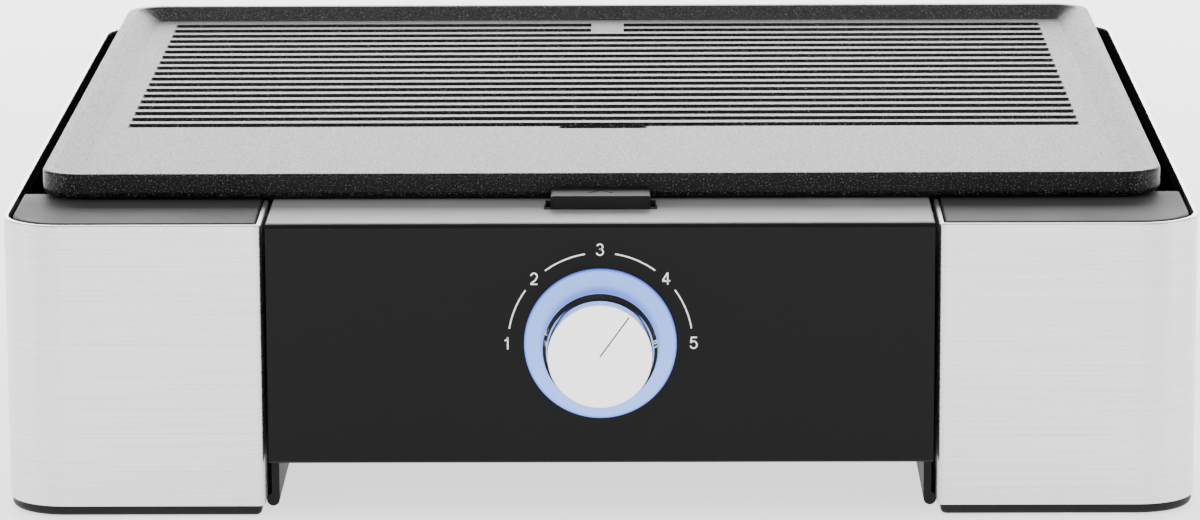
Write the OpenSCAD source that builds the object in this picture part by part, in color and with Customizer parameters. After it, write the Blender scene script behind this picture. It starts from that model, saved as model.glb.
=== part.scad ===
// Electric table grill: two steel-cased side pods, a black control panel
// between them and a lift-off ribbed griddle plate over a tubular heater.
// Millimetres, +Z up, the front faces -Y. The grill stands on Z = 0 and is
// centred on its whole outline, the knob included.

/* [Overall] */
// Width over the steel casings
body_w = 440; // [420:1:480]
// Depth from the front to the back of the steel casings
body_d = 434; // [420:1:470]
// Height of the casing tops above the table
deck_z = 110; // [106:1:130]
// Height of the lowest inner parts above the table
belly_z = 20; // [16:1:26]

/* [Steel casings] */
// Width of one steel casing
casing_w = 96; // [90:1:110]
// Thickness of the casing sheet
sheet_t = 1.5; // [1:0.1:2]
// Plan radius of the outer casing corners
casing_corner_r = 22; // [16:1:30]
// Outside radius of the bend at the inner casing edge
bend_r = 2.5; // [2.2:0.1:4]
// Depth of the flange that turns back beside the front panel
flange_d = 46; // [30:1:60]
// Depth of the flange that turns forward beside the back panel
back_flange_d = 9.5; // [7:0.5:9.5]
// Width of the lip that the foot trim clamps
lip_w = 9; // [7:0.5:12]
// Rounding of the visible sheet edge
sheet_edge_r = 0.6; // [0.2:0.1:0.7]

/* [Feet] */
// Height of the steel casing's lower edge above the table
foot_h = 4.3; // [4:0.1:6]
// Inset of the foot trim behind the steel
trim_inset = 0.6; // [0.3:0.1:2]
// Height of the trim's underside above the table
trim_lift = 0.5; // [0.3:0.1:1]
// Rounding of the trim's lower edge
trim_edge_r = 1.8; // [0.8:0.1:2.2]
// Radius of a rubber foot
rubber_r = 9; // [7:0.5:11]
// Height of a rubber foot
rubber_h = 2; // [1.8:0.1:2.2]
// Distance of the rubber feet from the casing ends
rubber_end = 46; // [34:1:70]

/* [Side housings] */
// Wall of the plastic mouldings
wall_t = 2.5; // [2:0.1:3]
// Height of the ledge that carries the heater pan, below the deck
ledge_drop = 6.8; // [6.2:0.1:9]
// Width of that ledge inside the housing wall
ledge_w = 14; // [12:0.5:16]

/* [Centre chassis] */
// Step of the leg wall inside the casing's inner edge
leg_step = 4.5; // [4:0.1:7]
// Setback of the leg wall behind the casing's front
leg_setback = 15; // [12:0.5:20]
// Rounding of the leg wall's lower inner edge
leg_edge_r = 2.4; // [1:0.1:2.7]
// Distance of a vent slot's ends from the leg wall and the tray's rail
vent_side = 10.8; // [8:0.2:12]
// Width of a vent slot in the belly
vent_w = 4; // [3:0.5:5]

/* [Front panel and shelf] */
// Gap between the panel and the steel flanges
panel_side_gap = 1.6; // [1:0.1:3]
// Recess of the panel behind the steel front
panel_recess = 0.8; // [0.2:0.1:2]
// Thickness of the panel
panel_t = 2.5; // [2:0.1:3]
// Rounding of the panel's visible edges
panel_edge_r = 1.9; // [0.4:0.1:2]
// Distance of the shelf's front edge behind the steel front
shelf_front = 3.9; // [3.7:0.1:6]
// Thickness of the shelf and the pod covers
deck_t = 2.5; // [2:0.1:3]
// Rounding of the shelf's top edges
deck_edge_r = 0.6; // [0.3:0.1:1]

/* [Pod covers] */
// Gap between a pod cover and the steel front
cover_front_gap = 2.6; // [1:0.1:5]
// Gap between a pod cover and the steel side
cover_side_gap = 1.7; // [1:0.1:3]
// Gap between a pod cover and the casing flange
cover_inner_gap = 2.4; // [1:0.1:4]
// Rounding of a pod cover's top edge
cover_edge_r = 1.2; // [0.3:0.1:1.3]
// How far a pod cover reaches behind the steel front
cover_reach = 59; // [56:1:64]

/* [Griddle plate] */
// Distance of the plate's side wall from the casing's outer face
plate_side = 10.5; // [10.5:0.5:16]
// Distance of the plate's front wall behind the steel front
plate_front = 46; // [44:1:50]
// Distance of the plate's rear wall from the steel back
plate_back = 6; // [5:0.5:12]
// Height of the rim above the deck
rim_rise = 10; // [9:0.5:14]
// Gap between the deck and the plate's underside
plate_gap = 0.6; // [0.4:0.1:1.5]
// Plan radius of the plate's corners
plate_corner_r = 15; // [14.5:0.5:25]
// Width of the flat rim top
rim_w = 4; // [3:0.5:6]
// Width of the slope from the rim down to the cooking face
rim_slope_w = 9; // [7:0.5:10]
// Depth of the cooking face below the rim
tray_depth = 5; // [4.5:0.1:5.5]
// Rounding of the rim's outer top edge
rim_edge_r = 1; // [0.5:0.1:1.8]
// Rounding of the wall's outer lower edge
plate_foot_r = 2.4; // [1:0.1:3]

/* [Ribs] */
// Number of grooves in the cooking face
groove_n = 19; // [8:1:22]
// Share of the spacing that a groove takes, the rest being rib
groove_share = 0.62; // [0.4:0.01:0.7]
// Distance of the groove ends from the plate's side wall
groove_side = 22; // [18:0.5:40]
// Depth of a groove near its ends
groove_end_depth = 1.5; // [0.6:0.1:1.6]
// Depth of a groove in the middle
groove_mid_depth = 2.3; // [1.7:0.1:2.4]
// Length of the run-out at a groove's end
groove_runout = 1.5; // [1:0.5:8]
// Distance of the rearmost groove from the plate's rear wall
groove_back = 21.4; // [15:0.1:24]
// Distance of the front groove from the plate's front wall
groove_front = 120.4; // [116:0.1:124]
// Width of the bare pad that interrupts the two rear grooves
pad_w = 14; // [8:1:24]
// Length of the drain slot
drain_l = 35; // [20:1:44]
// Width of the drain slot
drain_w = 4.5; // [3:0.5:5]
// How far the drain slot cuts into the front groove
drain_lap = 0.3; // [0.1:0.1:1]

/* [Heater] */
// Diameter of the heater tube
heater_d = 6.5; // [6:0.1:7.2]
// Number of straight runs, always even
heater_runs = 6; // [4:2:6]
// Distance of the front run from the plate's front wall
heater_front = 28.4; // [26:0.2:32]
// Distance of the rear run from the plate's rear wall
heater_back = 53.6; // [50:0.2:58]
// Distance of the bends' centres from the pan's side wall
heater_side = 51.4; // [48:0.2:60]
// Height of the tube's centre below the plate's underside
heater_drop = 4.3; // [4.2:0.1:5]
// Play between the tube and its channel in the plate
heater_play = 0.35; // [0.2:0.05:0.6]
// Width of a channel rib under the plate
channel_w = 15; // [12:1:20]

/* [Heater pan] */
// Thickness of the pan's sheet
pan_t = 0.8; // [0.6:0.1:1.2]
// Depth of the pan
pan_depth = 16; // [14:0.5:20]
// Width of the pan's flange
pan_flange_w = 8; // [6:0.5:10]
// Plan radius of the pan's corners
pan_corner_r = 14; // [10:1:16]
// Distance of the pan's front wall behind the steel front
pan_front = 58; // [56:0.5:62]

/* [Control] */
// Height of the control's axis above the table
knob_z = 65.5; // [58:0.5:72]
// How far the knob's face stands in front of the steel
knob_proud = 22; // [18:0.5:26]
// Length of the knob's chromed body along its axis
knob_l = 12.5; // [10:0.5:14]
// Radius of the knob's rear edge
knob_r = 21; // [18:0.5:22]
// Radius of the knob's face
knob_face_r = 19.2; // [16:0.1:20]
// Angle of the pointer from upright, clockwise
pointer_angle = 36; // [-135:0.5:90]
// Outer radius of the light ring
ring_r = 28; // [25:0.5:30]
// Radius of the crease between the ring's two bands
ring_crease_r = 22; // [20.5:0.5:24]
// Radius of the thermostat's shaft
shaft_r = 3; // [2.5:0.1:3.5]

/* [Release lever] */
// Width of the lever
lever_w = 37; // [30:0.5:44]
// Height of the lever's top above the deck
lever_rise = 4.9; // [4:0.1:6]
// Length of the lever, front to back
lever_l = 17.2; // [14:0.1:17.2]
// Distance of the lever's hinge pin behind its front face
pin_back = 4; // [3.5:0.1:6]
// Radius of the hinge pin
pin_r = 1.3; // [1:0.1:1.4]
// How far the pin shows at each side of the lever
pin_show = 1.9; // [0.5:0.1:3]

/* [Drip tray] */
// Width of the drip tray
tray_w = 116; // [90:1:140]
// Height of the drip tray
tray_h = 20; // [12:1:30]
// Thickness of the tray's sheet
tray_t = 1.2; // [0.8:0.1:2]
// Distance of the tray's front wall in front of the drain
tray_ahead = 40; // [25:1:60]
// Plan radius of the tray's corners
tray_corner_r = 9; // [5:1:14]

/* [Back panel] */
// Recess of the back panel behind the steel's back edge
back_recess = 3; // [2:0.1:4]
// Number of louvre slots in each of the two rows in the back panel
louvre_n = 5; // [2:1:6]
// Spacing of the louvre slots
louvre_pitch = 8; // [7:0.5:10]

/* [Power inlet] */
// Distance of the inlet's middle from the leg wall
inlet_side = 31.5; // [28:0.5:36]
// Height of the inlet above the table
inlet_z = 62; // [50:1:70]
// Width of the inlet's socket
socket_w = 24; // [22:0.5:26]
// Height of the inlet's socket
socket_h = 16; // [15:0.5:18]
// Depth of the inlet's socket
socket_d = 16; // [14:0.5:18]

/* [Fits] */
// Gap between two mouldings that lie beside each other
fit_gap = 0.3; // [0.2:0.05:0.5]
// Radial clearance of a turning shaft
run_gap = 0.05; // [0.02:0.01:0.1]
// Radial clearance of a screw in its hole
screw_gap = 0.15; // [0.1:0.05:0.3]

/* [Hidden] */

$fn = 64;
EPS = 0.01;

// ---- Places shared by several pieces ----
half_w = body_w / 2;
front_y = (knob_proud - body_d) / 2;
back_y = front_y + body_d;
flange_x = half_w - casing_w;
ledge_z = deck_z - ledge_drop;
plate_z0 = deck_z + plate_gap;
rim_z = deck_z + rim_rise;
cook_z = rim_z - tray_depth;
plate_w = body_w - 2 * plate_side;
plate_y0 = front_y + plate_front;
plate_y1 = back_y - plate_back;

// Housing box of the right-hand pod
house_x0 = flange_x + sheet_t + fit_gap;
house_x1 = half_w - sheet_t - fit_gap;
house_y0 = front_y + sheet_t + fit_gap;
house_y1 = back_y - sheet_t - fit_gap;
house_z0 = foot_h + sheet_t;
house_r = casing_corner_r - sheet_t - fit_gap;

// Centre chassis
leg_x0 = flange_x - leg_step;
leg_x1 = flange_x - panel_side_gap;
leg_y0 = front_y + leg_setback;
leg_y1 = back_y - leg_setback;
belly_top = belly_z + wall_t;
rail_t = 2.5;
rail_x = tray_w / 2 + 3 + fit_gap;
vent_l = leg_x0 - rail_x - rail_t - 2 * vent_side;
inlet_x = leg_x0 - inlet_side;

// Panels
panel_x = flange_x - panel_side_gap;
panel_y0 = front_y + panel_recess;
panel_y1 = panel_y0 + panel_t;
back_in = back_y - back_recess - panel_t;

// Heater pan
pan_z0 = ledge_z - pan_depth;
pan_x = house_x1 - wall_t - ledge_w - fit_gap;
pan_y0 = front_y + pan_front;
pan_y1 = house_y1 - wall_t - ledge_w - fit_gap;
cross_y = pan_y0 - pan_flange_w - fit_gap;

// Grooves and drain
groove_y1 = plate_y1 - groove_back;
groove_y0 = plate_y0 + groove_front;
groove_pitch = (groove_y1 - groove_y0) / (groove_n - 1 + groove_share);
groove_w = groove_share * groove_pitch;
groove_l = plate_w - 2 * groove_side;
drain_y = groove_y0 + drain_lap - drain_w / 2;

// Heater
heater_r = heater_d / 2;
heater_z = plate_z0 - heater_drop;
heater_x = pan_x - heater_side;
heater_pitch = (plate_y1 - heater_back - plate_y0 - heater_front) / (heater_runs - 1);
function run_y(i) = plate_y0 + heater_front + i * heater_pitch;

// ---- Shape helpers ----

// Rounded rectangle in plan; rl rounds the low-x corners, rr the high-x ones
module plan_rect(x0, x1, y0, y1, rl, rr) {
    translate([x0 + rl, y0]) square([x1 - rr - x0 - rl, y1 - y0]);
    translate([x0, y0 + rl]) square([rl + EPS, y1 - y0 - 2 * rl]);
    translate([x1 - rr - EPS, y0 + rr]) square([rr + EPS, y1 - y0 - 2 * rr]);
    for (y = [y0 + rl, y1 - rl]) translate([x0 + rl, y]) circle(r = rl);
    for (y = [y0 + rr, y1 - rr]) translate([x1 - rr, y]) circle(r = rr);
}

// Upright block with a rounded plan
module block(x0, x1, y0, y1, z0, z1, rl = 0, rr = 0) {
    translate([0, 0, z0]) linear_extrude(z1 - z0)
        if (rl == 0 && rr == 0) translate([x0, y0]) square([x1 - x0, y1 - y0]);
        else plan_rect(x0, x1, y0, y1, max(rl, EPS), max(rr, EPS));
}

// Half section of a soft-edged block: top rounding et, bottom rounding eb
module edge_section(r, z0, z1, et, eb) {
    difference() {
        union() {
            translate([0, z0 + eb]) square([r, z1 - et - z0 - eb]);
            if (et > 0) translate([0, z1 - et - EPS]) square([r - et, et + EPS]);
            if (eb > 0) translate([0, z0]) square([r - eb, eb + EPS]);
            if (et > 0) translate([r - et, z1 - et]) circle(r = et, $fn = 32);
            if (eb > 0) translate([r - eb, z0 + eb]) circle(r = eb, $fn = 32);
        }
        translate([-r - 1, z0 - 1]) square([r + 1, z1 - z0 + 2]);
    }
}

// Upright block whose top and bottom edges are rounded as well
module soft_block(x0, x1, y0, y1, z0, z1, rl, rr, et, eb) {
    xm = (x0 + x1) / 2;
    for (y = [y0 + rl, y1 - rl]) translate([x0 + rl, y, 0])
        rotate_extrude() edge_section(rl, z0, z1, et, eb);
    for (y = [y0 + rr, y1 - rr]) translate([x1 - rr, y, 0])
        rotate_extrude() edge_section(rr, z0, z1, et, eb);
    // front and back edges
    translate([x0 + rl, y0 + rl, 0]) edge_run(x1 - rr - x0 - rl, rl, z0, z1, et, eb);
    translate([x1 - rr, y1 - rl, 0]) rotate(180)
        edge_run(x1 - rr - x0 - rl, rl, z0, z1, et, eb);
    // left and right edges
    translate([x0 + rl, y1 - rl, 0]) rotate(-90)
        edge_run(y1 - y0 - 2 * rl, rl, z0, z1, et, eb);
    translate([x1 - rr, y0 + rr, 0]) rotate(90)
        edge_run(y1 - y0 - 2 * rr, rr, z0, z1, et, eb);
    translate([x0 + rl - EPS, y0 + rl - EPS, z0])
        cube([x1 - rr - x0 - rl + 2 * EPS, y1 - y0 - 2 * rl + 2 * EPS, z1 - z0]);
}

// Straight edge of a soft block: runs along +x, faces -y, reaches to the axis
module edge_run(l, r, z0, z1, et, eb) {
    rotate([90, 0, 90]) linear_extrude(l) mirror([1, 0]) edge_section(r, z0, z1, et, eb);
}

// Mirror image for the left-hand piece
module left() { mirror([1, 0, 0]) children(); }

// Turn a shape drawn around +Z so that +Z points to the front, on the control axis
module on_control() { translate([0, front_y, knob_z]) rotate([90, 0, 0]) children(); }

// Ring or disc between two heights
module ring(r_out, r_in, z0, z1) {
    difference() {
        translate([0, 0, z0]) cylinder(r = r_out, h = z1 - z0);
        if (r_in > 0) translate([0, 0, z0 - 1]) cylinder(r = r_in, h = z1 - z0 + 2);
    }
}

// Slot with round ends, standing upright, long side along x
module slot(l, w, z0, z1) {
    translate([0, 0, z0]) linear_extrude(z1 - z0) {
        square([l - w, w], center = true);
        for (x = [-1, 1]) translate([x * (l - w) / 2, 0]) circle(r = w / 2, $fn = 32);
    }
}

// Insulated lead laid through a list of points, with a fuller ball at each bend
bend_swell = 0.05;
ball_swell = 0.3;
ball_sink = 0.4;
module lead(points, r = 1.3) {
    last = len(points) - 2;
    for (i = [0 : last]) {
        d = points[i + 1] - points[i];
        l = norm(d);
        z0 = i > 0 ? ball_sink : 0;
        z1 = i < last ? l - ball_sink : l;
        translate(points[i]) rotate([0, acos(d[2] / l), atan2(d[1], d[0])])
            translate([0, 0, z0]) cylinder(r = r, h = z1 - z0, $fn = 24);
        if (i > 0) translate(points[i]) bend_ball(points[i] - points[i - 1], d, r + ball_swell);
    }
}

// Ball at a bend from direction a to direction d, its seam on the outside of the bend
module bend_ball(a, d, r) {
    n = cross(a, d);
    u = a / norm(a) - d / norm(d);
    z = n / norm(n);
    x = u / norm(u);
    y = cross(z, x);
    multmatrix([[x[0], y[0], z[0], 0], [x[1], y[1], z[1], 0], [x[2], y[2], z[2], 0], [0, 0, 0, 1]])
        sphere(r = r, $fn = 24);
}

// Screw along +Z with its head's underside at 0 and a cross recess in the head
screw_r = 1.75;
head_r = 3.3;
head_h = 1.9;
module screw(l) {
    difference() {
        union() {
            translate([0, 0, -head_h]) cylinder(r1 = head_r - 0.7, r2 = head_r, h = head_h);
            cylinder(r = screw_r, h = l);
        }
        for (a = [0, 90]) rotate(a) translate([-1.9, -0.35, -head_h - 1]) cube([3.8, 0.7, 2]);
    }
}
module screw_hole(l) { cylinder(r = screw_r + screw_gap, h = l); }
module pilot_hole(l) { cylinder(r = screw_r + run_gap, h = l); }

// ---- Steel casings ----
module steel_casing() {
    color("silver") difference() {
        soft_block(flange_x, half_w, front_y, back_y, foot_h, deck_z,
                   bend_r, casing_corner_r, sheet_edge_r, 0);
        block(flange_x + sheet_t, half_w - sheet_t, front_y + sheet_t, back_y - sheet_t,
              foot_h + sheet_t, deck_z + 1, bend_r - sheet_t, casing_corner_r - sheet_t);
        block(flange_x + lip_w, half_w - lip_w, front_y + lip_w, back_y - lip_w,
              foot_h - 1, foot_h + sheet_t + 1, 1, casing_corner_r - lip_w);
        translate([flange_x - 1, front_y + flange_d, foot_h - 1])
            cube([lip_w + 1 + EPS, body_d - flange_d - back_flange_d, deck_z]);
        foot_screw_places() translate([0, 0, foot_h - 1]) screw_hole(sheet_t + 2);
    }
}

// Four screws hold each foot trim, the casing's lip and the housing together
module foot_screw_places() {
    x_side = half_w - lip_w / 2 - 0.5;
    x_mid = (flange_x + half_w) / 2;
    for (y = [front_y + body_d * 0.2, back_y - body_d * 0.2]) translate([x_side, y, 0]) children();
    for (y = [front_y + lip_w / 2 + 1, back_y - lip_w / 2 - 1]) translate([x_mid, y, 0]) children();
}
screw_seat_z = trim_lift + head_h;

module foot_trim() {
    color("#202022") difference() {
        soft_block(flange_x + 2 * trim_inset, half_w - trim_inset, front_y + trim_inset,
                   back_y - trim_inset, trim_lift, foot_h,
                   trim_edge_r + 0.6, casing_corner_r - trim_inset, 0, trim_edge_r);
        rubber_places() translate([0, 0, trim_lift - 1])
            cylinder(r = rubber_r + fit_gap, h = rubber_h - trim_lift + 1);
        foot_screw_places() {
            translate([0, 0, trim_lift - 1]) cylinder(r = head_r + fit_gap, h = screw_seat_z - trim_lift + 1);
            translate([0, 0, trim_lift]) screw_hole(foot_h);
        }
        // stiffening channels moulded into the underside
        for (x = [0.3, 0.7]) translate([flange_x + casing_w * x, (front_y + back_y) / 2, 0])
            rotate(90) slot(body_d - 2 * rubber_end - 50, 12, trim_lift - 1, trim_lift + 1.2);
    }
}

module rubber_places() {
    for (y = [front_y + rubber_end, back_y - rubber_end])
        translate([(flange_x + half_w) / 2, y, 0]) children();
}

module rubber_feet() {
    color("#151515") for (s = [-1, 1]) mirror([s < 0 ? 1 : 0, 0, 0]) rubber_places()
        difference() {
            rotate_extrude() edge_section(rubber_r, 0, rubber_h, 0, 0.5);
            for (r = [3, 6]) translate([0, 0, -1]) ring(r + 0.5, r - 0.5, 0, 1.4);
        }
}

// ---- Plastic side housings ----
pad_z = 44;
pad_r = 7;
pass_z = 62;
module pad_places() {
    for (k = [0.24, 0.52, 0.75]) translate([0, front_y + k * body_d, pad_z]) children();
}
pass_y = run_y(0) + 12;
module pass_hole() {
    // round hole that the heater's leads go through
    translate([leg_x0 - 5, pass_y, pass_z]) rotate([0, 90, 0]) cylinder(r = 7, h = 30);
}

module side_housing() {
    low_z = pan_z0 - 1.5;
    cover_z = deck_z - deck_t;
    color("#1b1b1d") difference() {
        union() {
            difference() {
                block(house_x0, house_x1, house_y0, house_y1, house_z0, deck_z - 0.8,
                      1.5, house_r);
                block(house_x0 + wall_t, house_x1 - wall_t, house_y0 + wall_t, house_y1 - wall_t,
                      house_z0 + wall_t, deck_z, 0.5, house_r - wall_t);
            }
            // wall and ledge behind the pod cover
            translate([house_x0 + EPS, cross_y - wall_t, house_z0 + EPS])
                cube([house_x1 - house_x0 - wall_t, wall_t, deck_z - deck_t - house_z0 - EPS]);
            translate([house_x0 + EPS, cross_y - EPS, ledge_z - wall_t])
                cube([house_x1 - house_x0 - wall_t, pan_flange_w, wall_t]);
            // ledge along the outer and the rear wall
            difference() {
                block(house_x0, house_x1, house_y0, house_y1, ledge_z - wall_t, ledge_z, 1.5, house_r);
                block(house_x0 - 1, house_x1 - wall_t - ledge_w, house_y0 - 1,
                      house_y1 - wall_t - ledge_w, ledge_z - wall_t - 1, ledge_z + 1);
                translate([house_x0 - 1, house_y0 - 1, ledge_z - wall_t - 1])
                    cube([casing_w, cross_y - house_y0 + 1, wall_t + 2]);
            }
            // gussets under the ledge
            for (y = [cross_y + 60 : 70 : house_y1 - 60])
                translate([house_x1 - wall_t - ledge_w, y, ledge_z - wall_t - ledge_w])
                    rotate([90, 0, 0]) linear_extrude(wall_t)
                        polygon([[0, ledge_w + EPS], [ledge_w + EPS, ledge_w + EPS], [ledge_w + EPS, 0]]);
            // screw bosses in the floor
            foot_screw_places() translate([0, 0, house_z0]) cylinder(r = 4, h = 14);
            // pads against the chassis and their inner bosses
            pad_places() translate([leg_x1, 0, 0]) rotate([0, 90, 0])
                cylinder(r = pad_r, h = house_x0 - leg_x1 + wall_t + 8);
        }
        // the screw bosses stay inside the walls
        difference() {
            block(house_x0 - 30, house_x1 + 30, house_y0 - 30, house_y1 + 30, house_z0 - 1, house_z0 + 30);
            block(house_x0 - 20, house_x1, house_y0, house_y1, house_z0 - 2, house_z0 + 31, 1.5, house_r);
        }
        // low inner wall under the pan
        translate([house_x0 - 1, cross_y, low_z])
            cube([wall_t + 1 + EPS, house_y1 - wall_t - ledge_w - cross_y, deck_z]);
        // walls under the pod cover stop at its underside
        translate([house_x0 - 1, house_y0 - 1, cover_z])
            cube([casing_w + 2, front_y + cover_reach + fit_gap - house_y0 + 1, deck_z]);
        // wall behind the inner flange and the back stays below the deck
        translate([house_x0 - 1, house_y1 - wall_t - ledge_w, ledge_z])
            cube([wall_t + 1, ledge_w + wall_t + 1, deck_z]);
        foot_screw_places() translate([0, 0, house_z0 - 1]) pilot_hole(14);
        pad_places() translate([leg_x1 - 1, 0, 0]) rotate([0, 90, 0]) pilot_hole(14);
        pass_hole();
    }
}

// ---- Centre chassis ----
rail_h = 8;
lug_w = 14;
module centre_chassis() {
    top_z = pan_z0 - 1.5;
    color("#1b1b1d") difference() {
        union() {
            // belly and leg walls
            for (s = [-1, 1]) mirror([s < 0 ? 1 : 0, 0, 0]) {
                translate([0, leg_y1, 0]) rotate([90, 0, 0]) linear_extrude(leg_y1 - leg_y0)
                    leg_section(top_z);
                // taller ends under the shelf
                translate([leg_x0, leg_y0, top_z - 1])
                    cube([leg_x1 - leg_x0, cross_y - wall_t - fit_gap - leg_y0, deck_z - deck_t - top_z + 1]);
                // lugs for the front panel and the back panel
                for (y = [leg_y0, leg_y1 - wall_t]) translate([leg_x0 - lug_w, y, belly_z + EPS])
                    cube([lug_w + EPS, wall_t, top_z - belly_z - EPS]);
                // guide rails of the drip tray
                translate([rail_x, drain_y - tray_ahead - 8, belly_top - EPS])
                    cube([rail_t, leg_y1 - drain_y + tray_ahead + 8, rail_h]);
            }
            translate([-leg_x0 - EPS, panel_y1 + fit_gap, belly_z])
                cube([2 * leg_x0 + 2 * EPS, back_in - fit_gap - panel_y1 - fit_gap, wall_t]);
            // stop behind which the drip tray ends
            translate([-tray_w / 2, drain_y - tray_ahead - 8, belly_top - EPS])
                cube([tray_w, rail_t, rail_h]);
        }
        // vents in the belly
        for (s = [-1, 1]) for (y = [drain_y - 60 : 12 : leg_y1 - 70])
            translate([s * (leg_x0 + rail_x + rail_t) / 2, y, 0]) slot(vent_l, vent_w, belly_z - 1, belly_top + 1);
        for (s = [-1, 1]) mirror([s < 0 ? 1 : 0, 0, 0]) {
            pad_places() translate([leg_x0 - 1, 0, 0]) rotate([0, 90, 0]) screw_hole(10);
            for (z = lug_zs) translate([leg_x0 - lug_w / 2, leg_y0 - 1, z]) rotate([-90, 0, 0]) screw_hole(wall_t + 2);
            for (z = lug_zs) translate([leg_x0 - lug_w / 2, leg_y1 + 1, z]) rotate([90, 0, 0]) screw_hole(wall_t + 2);
            pass_hole();
        }
    }
}
lug_zs = [38, 76];

// Section of a leg wall with its rounded lower inner edge
module leg_section(top_z) {
    translate([leg_x0 + leg_edge_r, trim_lift]) square([leg_x1 - leg_x0 - leg_edge_r, top_z - trim_lift]);
    translate([leg_x0, trim_lift + leg_edge_r]) square([leg_x1 - leg_x0, top_z - trim_lift - leg_edge_r]);
    translate([leg_x0 + leg_edge_r, trim_lift + leg_edge_r]) circle(r = leg_edge_r, $fn = 32);
}

// ---- Covers ----
module pod_cover() {
    x0 = flange_x + sheet_t + cover_inner_gap - sheet_t;
    x1 = half_w - sheet_t - cover_side_gap;
    y0 = front_y + sheet_t + cover_front_gap;
    y1 = front_y + cover_reach;
    r1 = casing_corner_r - sheet_t - cover_side_gap;
    color("#5c5d60") difference() {
        union() {
            soft_block(x0, x1, y0, y1 + r1, deck_z - deck_t, deck_z, 2, r1, cover_edge_r, 0);
            // rim that drops inside the housing walls
            difference() {
                block(house_x0 + wall_t + fit_gap, house_x1 - wall_t - fit_gap, house_y0 + wall_t + fit_gap,
                      cross_y - wall_t - fit_gap, deck_z - deck_t - 5, deck_z - deck_t + EPS, 1, house_r - wall_t - fit_gap);
                block(house_x0 + wall_t + 2, house_x1 - wall_t - 2, house_y0 + wall_t + 2,
                      cross_y - wall_t - 2, deck_z - deck_t - 6, deck_z - deck_t + 1, 1, house_r - wall_t - 2);
                translate([house_x0, cross_y - wall_t - house_r, deck_z - deck_t - 6])
                    cube([casing_w, house_r + 1, 7]);
            }
        }
        translate([x0 - 1, y1, deck_z - deck_t - 1]) cube([casing_w, 2 * r1 + 1, deck_t + 2]);
    }
}

// Pocket that the release lever's front dips into
lever_y0 = front_y + 28;
lever_top = deck_z + lever_rise;
lever_lift = 0.1;
pin_y = lever_y0 + pin_back;
pin_z = deck_z + 1.35;
pocket_x = lever_w / 2 + pin_show + 0.6;
pocket_y0 = lever_y0 - 0.6;
pocket_y1 = pin_y + 5;
pocket_deep = 4;
post_x = 12;
post_w = 4;
post_r = pin_r + 0.6;

module centre_shelf() {
    wall_y0 = cross_y - wall_t;
    color("#8f9194") difference() {
        union() {
            // deck with a soft front edge
            difference() {
                soft_block(-leg_x1, leg_x1, front_y + shelf_front, cross_y + 10, deck_z - deck_t, deck_z,
                           1, 1, deck_edge_r, 0);
                translate([-half_w, cross_y, 0]) cube([body_w, 20, deck_z + 1]);
            }
            // wall between the controls and the heater
            translate([-leg_x0 + fit_gap, wall_y0, belly_top])
                cube([2 * (leg_x0 - fit_gap), wall_t, deck_z - deck_t - belly_top + EPS]);
            // ledge under the pan's flange
            translate([-leg_x0 + fit_gap, cross_y - EPS, ledge_z - wall_t])
                cube([2 * (leg_x0 - fit_gap), pan_flange_w, wall_t]);
            // stiffening ribs under the deck
            for (k = [-0.75, -0.5, 0.5, 0.75]) translate([k * leg_x0, front_y + shelf_front + 6, deck_z - deck_t - 6])
                cube([1.6, wall_y0 - front_y - shelf_front - 6 + EPS, 6 + EPS]);
            // box of the lever's pocket
            block(-pocket_x - 1.8, pocket_x + 1.8, pocket_y0 - 1.8, wall_y0 + EPS,
                  deck_z - pocket_deep - 1.8, deck_z - deck_t + EPS);
        }
        translate([-pocket_x, pocket_y0, deck_z - pocket_deep]) cube([2 * pocket_x, pocket_y1 - pocket_y0, 20]);
        // way through for the leads
        translate([-40, wall_y0 - 1, 58]) cube([14, wall_t + 2, 14]);
    }
    // posts that carry the hinge pin
    color("#8f9194") difference() {
        for (s = [-1, 1]) translate([s * post_x - post_w / 2, pin_y, 0]) {
            translate([0, -post_r, deck_z - pocket_deep - EPS]) cube([post_w, 2 * post_r, pin_z - deck_z + pocket_deep]);
            translate([0, 0, pin_z]) rotate([0, 90, 0]) cylinder(r = post_r, h = post_w);
        }
        translate([-half_w, pin_y, pin_z]) rotate([0, 90, 0]) cylinder(r = pin_r + run_gap, h = body_w);
    }
}

// ---- Front and back panels ----
sleeve_r = 24.2;
post_z = 38;
bracket_back = 12.2;
module lug_places() { for (s = [-1, 1]) for (z = lug_zs) translate([s * (leg_x0 - lug_w / 2), 0, z]) children(); }
module board_posts() { for (a = [90, 210, 330]) rotate(a) translate([30.5, 0, 0]) children(); }

// Upright plate whose front face starts at y0, with rounded upper and lower front edges
module panel_plate(y0, top_z) {
    e = panel_edge_r;
    translate([-panel_x, 0, 0]) rotate([90, 0, 90]) linear_extrude(2 * panel_x) difference() {
        union() {
            translate([y0 + e, belly_z]) square([panel_t - e, top_z - belly_z]);
            translate([y0, belly_z + e]) square([panel_t, top_z - belly_z - 2 * e]);
            for (z = [belly_z + e, top_z - e]) translate([y0 + e, z]) circle(r = e, $fn = 32);
        }
        translate([y0 + panel_t, belly_z - 1]) square([2 * e, top_z - belly_z + 2]);
    }
}

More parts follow.
